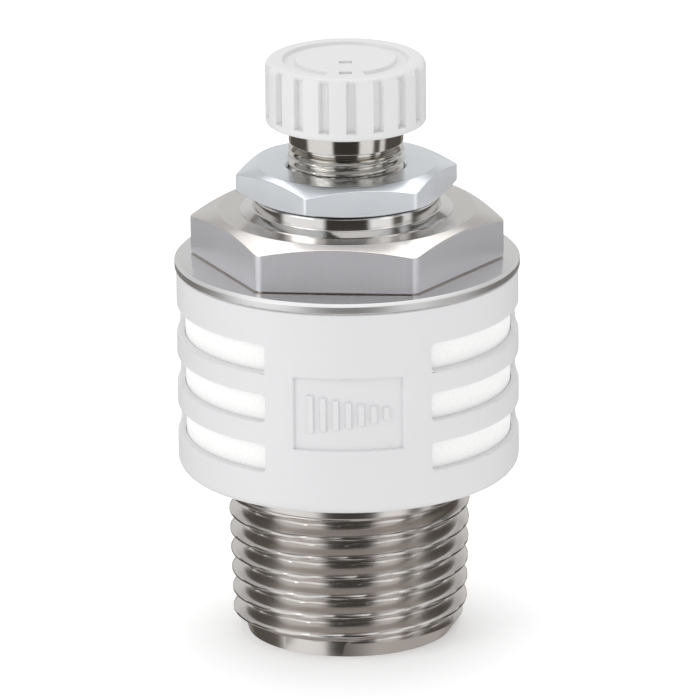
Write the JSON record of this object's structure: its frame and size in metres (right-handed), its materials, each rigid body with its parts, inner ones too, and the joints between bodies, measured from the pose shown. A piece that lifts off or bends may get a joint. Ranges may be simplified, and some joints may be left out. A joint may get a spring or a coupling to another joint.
{
  "type": "pneumatic muffler",
  "caption": "Exhaust muffler with a metering needle: pipe-thread nipple, hexagon, windowed cover over porous sleeves, locked adjusting knob.",
  "frame": {"origin": "on the muffler's axis, at the open end face of the threaded nipple", "axes": "+Z along the axis from the nipple to the knob; -Y is the front, where the cover's recessed panel is"},
  "size_m": [0.0302, 0.0302, 0.0518],
  "materials": {
    "nickel_brass": "brass with satin electroless nickel plating",
    "nickel_brass_turned": "turned brass with bright nickel plating",
    "needle_brass": "turned brass with bright nickel plating",
    "zinc_steel": "steel with clear bluish zinc plating",
    "knob_plastic": "white moulded plastic, fine satin",
    "bright_plate": "bright rolled stainless sheet",
    "cover_plastic": "light grey moulded plastic, satin",
    "porous_sleeve": "white porous sound-absorbing sleeve",
    "coarse_sleeve": "coarse open sleeve",
    "perforated_steel": "perforated stainless sheet",
    "spring_steel": "blackened spring steel",
    "gasket_rubber": "flat rubber sheet",
    "seal_rubber": "moulded nitrile rubber"
  },
  "bodies": {
    "housing": {"valve_body": "nickel_brass", "needle_guide": "nickel_brass_turned", "guide_o_ring": "seal_rubber", "end_plate": "bright_plate", "upper_gasket": "gasket_rubber", "sleeve_support_tube": "perforated_steel", "inner_sleeve": "coarse_sleeve", "outer_sleeve": "porous_sleeve", "lower_gasket": "gasket_rubber", "silencer_cover": "cover_plastic", "retaining_ring": "spring_steel"},
    "needle_seal": {"needle_o_ring": "seal_rubber"},
    "spindle": {"needle": "needle_brass", "knob": "knob_plastic"},
    "nut": {"lock_nut": "zinc_steel"}
  },
  "joints": [
    {"name": "needle_lift", "type": "slide", "parent": "housing", "child": "needle_seal", "axis": [0, 0, 1], "range_m": [-0.00301, 0.00151]},
    {"name": "knob_turn", "type": "hinge", "parent": "needle_seal", "child": "spindle", "pos_m": [0, 0, 0.046], "axis": [0, 0, 1], "range_deg": [-1440, 720]},
    {"name": "nut_turn", "type": "hinge", "parent": "housing", "child": "nut", "pos_m": [0, 0, 0.0414], "axis": [0, 0, 1], "range_deg": [0, 180]}
  ],
  "couplings": [
    {"joint": "needle_lift", "follows": "knob_turn", "m_per_rad": 0.00011937}
  ]
}
